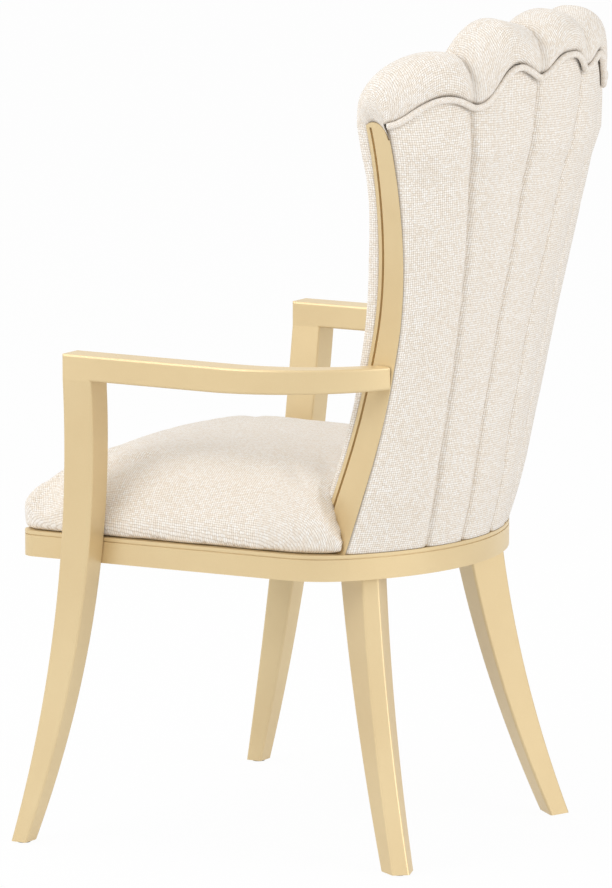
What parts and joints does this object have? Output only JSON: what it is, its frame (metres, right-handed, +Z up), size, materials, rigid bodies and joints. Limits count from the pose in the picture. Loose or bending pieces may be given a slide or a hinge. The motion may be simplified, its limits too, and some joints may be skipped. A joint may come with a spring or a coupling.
{
  "type": "upholstered dining armchair",
  "caption": "Dining armchair with a flared channel-tufted fabric back, scalloped padded top roll, tight padded seat and a gold-painted wooden frame with open arms and sabre legs.",
  "frame": {"origin": "on the floor, under the middle of the chair's overall box", "axes": "+Z up, the sitter faces -Y, +X is the sitter's left"},
  "size_m": [0.6228, 0.6789, 1.1031],
  "materials": {
    "painted_wood": "satin champagne gold paint over beech",
    "cover_fabric": "coarse cream basket weave over foam",
    "welt_fabric": "cream piping cord",
    "plywood": "raw bent plywood",
    "block_wood": "raw hardwood",
    "dowel_wood": "fluted beech dowel",
    "hardware_steel": "zinc plated",
    "dust_cloth": "black non-woven cloth",
    "glide_plastic": "matte"
  },
  "bodies": {
    "root": {"arm_dowels": "dowel_wood", "arm_left": "painted_wood", "arm_right": "painted_wood", "back_shell": "plywood", "back_stile_left": "painted_wood", "back_stile_right": "painted_wood", "corner_blocks": "block_wood", "deck_screws": "hardware_steel", "dust_cover": "dust_cloth", "front_leg_left": "painted_wood", "front_leg_right": "painted_wood", "front_rail": "painted_wood", "glides": "glide_plastic", "inside_back": "cover_fabric", "leg_bolts": "hardware_steel", "mitre_dowels": "dowel_wood", "outside_back": "cover_fabric", "rear_leg_bolts": "hardware_steel", "rear_leg_left": "painted_wood", "rear_leg_right": "painted_wood", "rear_rail": "painted_wood", "seat_deck": "plywood", "seat_pad": "cover_fabric", "side_rail_left": "painted_wood", "side_rail_right": "painted_wood", "stile_dowels": "dowel_wood", "top_roll": "cover_fabric", "welt": "welt_fabric"}
  },
  "joints": []
}
